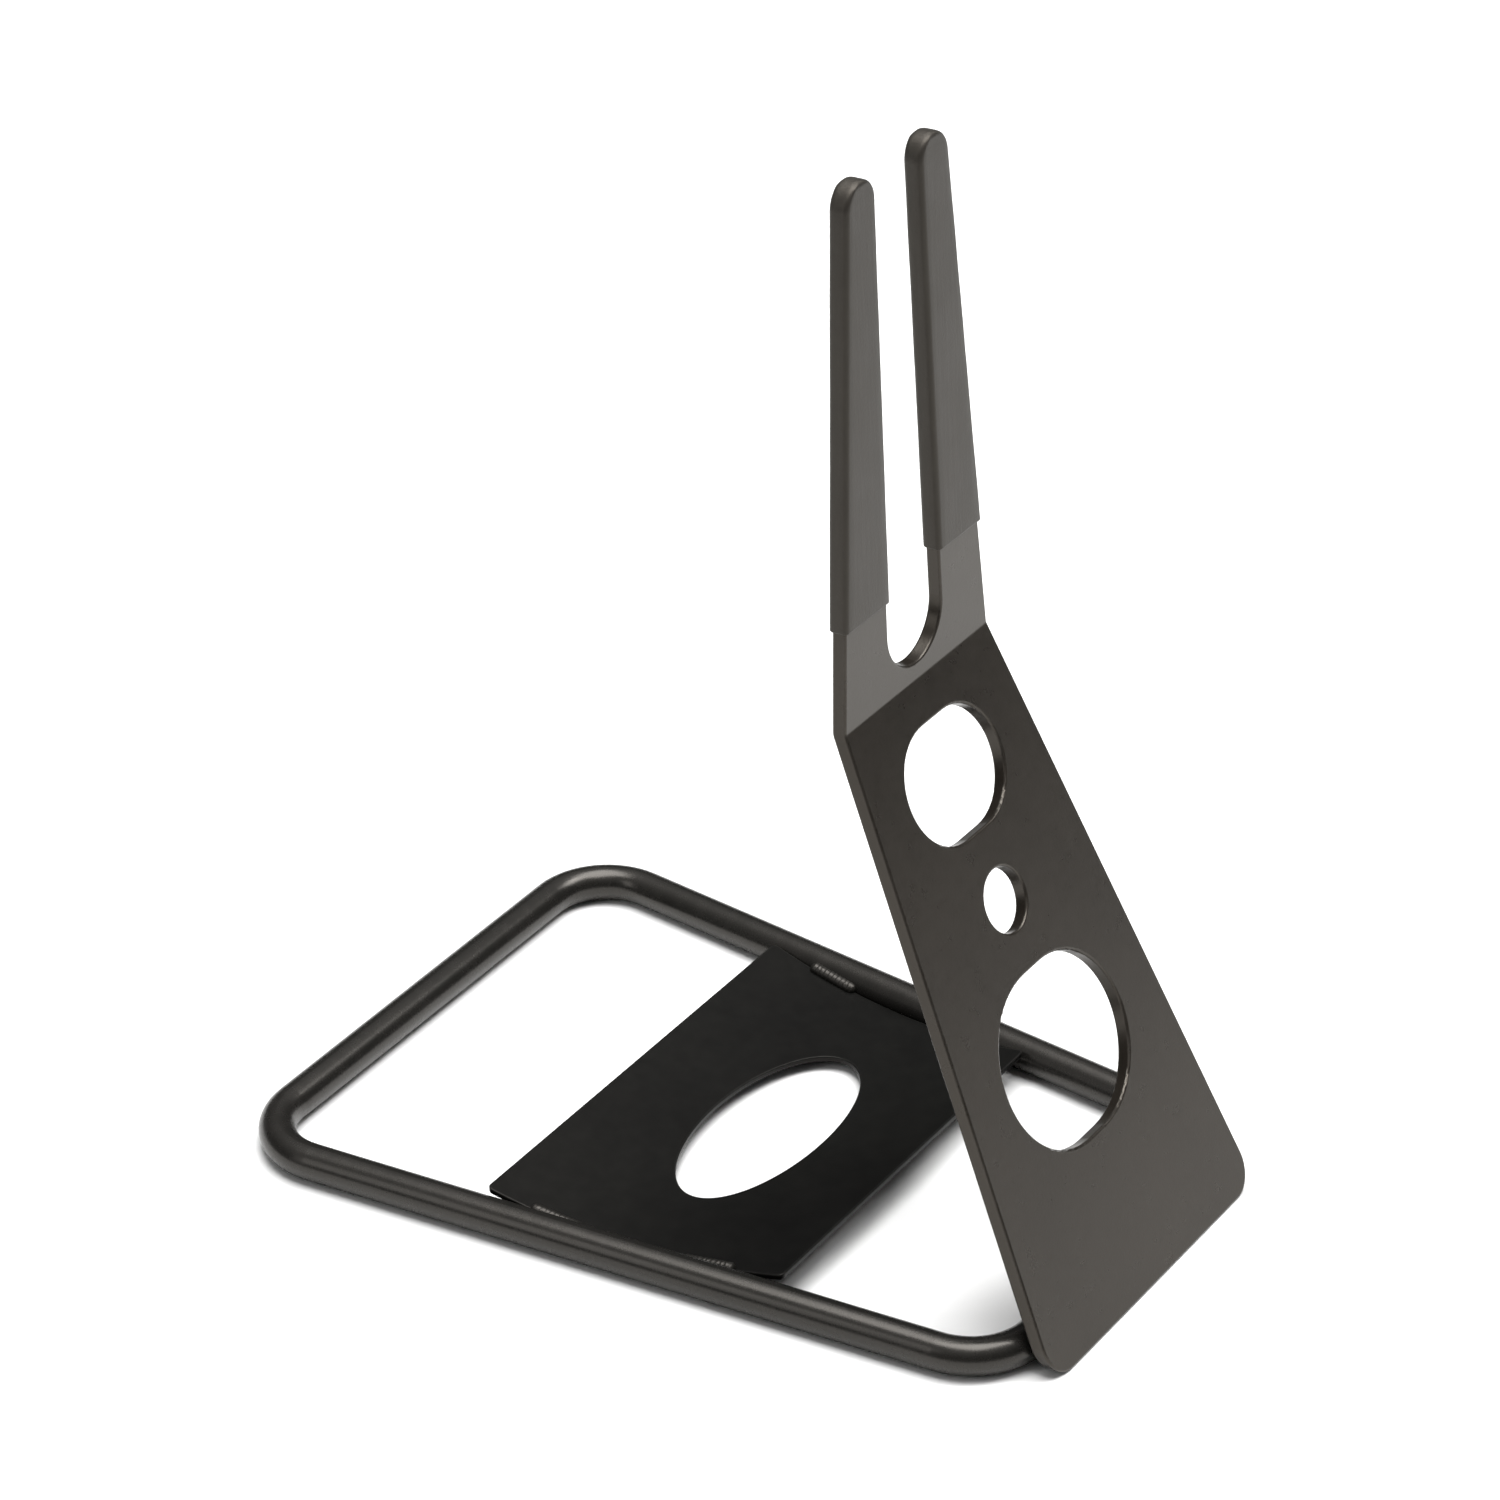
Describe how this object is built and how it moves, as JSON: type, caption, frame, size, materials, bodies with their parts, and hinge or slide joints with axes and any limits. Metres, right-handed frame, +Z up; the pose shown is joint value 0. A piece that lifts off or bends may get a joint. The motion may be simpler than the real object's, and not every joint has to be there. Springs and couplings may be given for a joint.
{
  "type": "bicycle floor stand",
  "caption": "Low floor stand for a bicycle: a folded steel fork plate with sleeved prongs that straddle a wheel axle, on a bent tube loop with a dished cradle plate for the tyre.",
  "frame": {"origin": "on the floor, under the middle of the tyre opening in the cradle plate, which is also the middle of the stand's footprint", "axes": "+Z up, +X along the wheel, +Y from the fork plate's side to the far end of the base loop"},
  "size_m": [0.2126, 0.3, 0.3745],
  "materials": {
    "tube_coat": "satin black powder coat on round steel tube",
    "plate_coat": "matt to satin black powder coat on thick steel sheet, fine grain",
    "cradle_coat": "matt to satin black powder coat on thin steel sheet, fine grain",
    "weld_coat": "satin black powder coat over weld beads",
    "sleeve_vinyl": "satin black vinyl sleeve"
  },
  "bodies": {
    "root": {"base_loop": "tube_coat", "loop_butt_weld": "weld_coat", "cradle_plate": "cradle_coat", "fork_plate": "plate_coat", "prong_sleeve_left": "sleeve_vinyl", "prong_sleeve_right": "sleeve_vinyl", "fork_weld_left": "weld_coat", "fork_weld_right": "weld_coat", "cradle_weld_near_left": "weld_coat", "cradle_weld_near_right": "weld_coat", "cradle_weld_far_left": "weld_coat", "cradle_weld_far_right": "weld_coat"}
  },
  "joints": []
}
